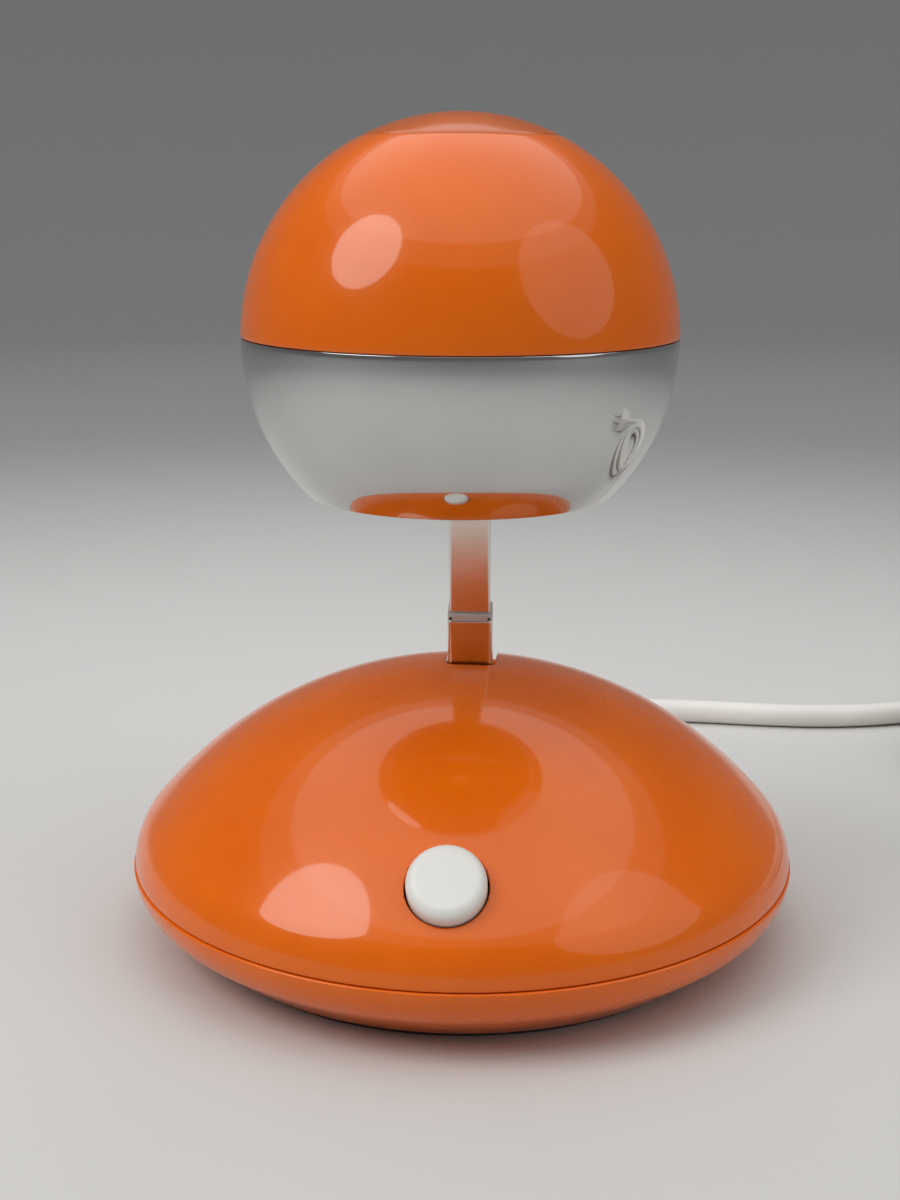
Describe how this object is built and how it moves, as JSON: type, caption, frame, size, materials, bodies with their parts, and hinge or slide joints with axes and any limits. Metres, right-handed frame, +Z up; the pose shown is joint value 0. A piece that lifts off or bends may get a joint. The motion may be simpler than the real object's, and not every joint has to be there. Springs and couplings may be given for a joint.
{
  "type": "telescopic desk lamp",
  "caption": "Desk lamp with a ball head that nods on a telescopic flat arm, which swings in a slot of its lens-shaped base; push button in front, cord behind.",
  "frame": {"origin": "on the table under the middle of the base", "axes": "+Z up, -Y towards the push button, the cord leaves at +Y"},
  "size_m": [0.2915, 0.2024, 0.156],
  "materials": {
    "orange_paint": "gloss",
    "cap_paint": "gloss",
    "chrome": "polished",
    "nickel": "satin",
    "bush_plastic": "matte",
    "white_plastic": "satin",
    "cord_white": "matte",
    "felt": "matte",
    "steel": "satin",
    "iron": "matte",
    "copper": "satin",
    "black_plastic": "matte",
    "holder_ceramic": "matte",
    "brass": "satin",
    "glass": "clear",
    "tungsten": "satin"
  },
  "bodies": {
    "base": {"base_top_shell": "orange_paint", "base_bottom_shell": "orange_paint", "felt_pad": "felt", "shell_screws": "steel", "arm_bracket": "steel", "bracket_screws": "steel", "pivot_bolt": "steel", "pivot_nut": "steel", "pivot_washers": "bush_plastic", "transformer_core": "iron", "transformer_winding": "copper", "transformer_clamp": "steel", "transformer_screws": "steel", "ballast_weights": "iron", "ballast_screws": "steel", "terminal_block": "holder_ceramic", "terminal_screws": "steel", "switch_body": "black_plastic", "switch_tags": "steel", "cord_gland": "white_plastic", "cord_lead": "cord_white", "cord_coil": "cord_white", "cord_tie": "bush_plastic", "plug_body": "white_plastic", "plug_pins": "nickel"},
    "button": {"button_cap": "white_plastic", "button_stem": "white_plastic"},
    "arm_outer": {"outer_tube": "nickel", "pivot_sleeve": "steel", "guide_bush": "bush_plastic"},
    "arm_inner": {"inner_tube": "nickel", "slide_shoe": "bush_plastic", "arm_knuckle": "steel", "knuckle_rivet": "steel"},
    "head": {"head_top_shell": "orange_paint", "head_top_cap": "cap_paint", "head_bottom_shell": "chrome", "cross_rod": "nickel", "rod_bosses": "nickel", "rod_nuts": "nickel", "rod_washers": "bush_plastic", "rod_collars": "nickel", "bridge_plate": "steel", "lamp_holder": "holder_ceramic", "holder_nut": "steel", "bulb_glass": "glass", "bulb_cap": "brass", "bulb_filament": "tungsten"}
  },
  "joints": [
    {"name": "button_press", "type": "slide", "parent": "base", "child": "button", "axis": [0, 0.682, -0.7314], "range_m": [0, 0.002], "stiffness_N_per_m": 900},
    {"name": "arm_tilt", "type": "hinge", "parent": "base", "child": "arm_outer", "pos_m": [0.0013, 0.0163, 0.013], "axis": [1, 0, 0], "range_deg": [-45, 0]},
    {"name": "arm_slide", "type": "slide", "parent": "arm_outer", "child": "arm_inner", "axis": [0, -0.2672, 0.9636], "range_m": [-0.019, 0.014]},
    {"name": "head_tilt", "type": "hinge", "parent": "arm_inner", "child": "head", "pos_m": [0.0013, -0.00894, 0.10401], "axis": [1, 0, 0], "range_deg": [-22, 30]}
  ]
}
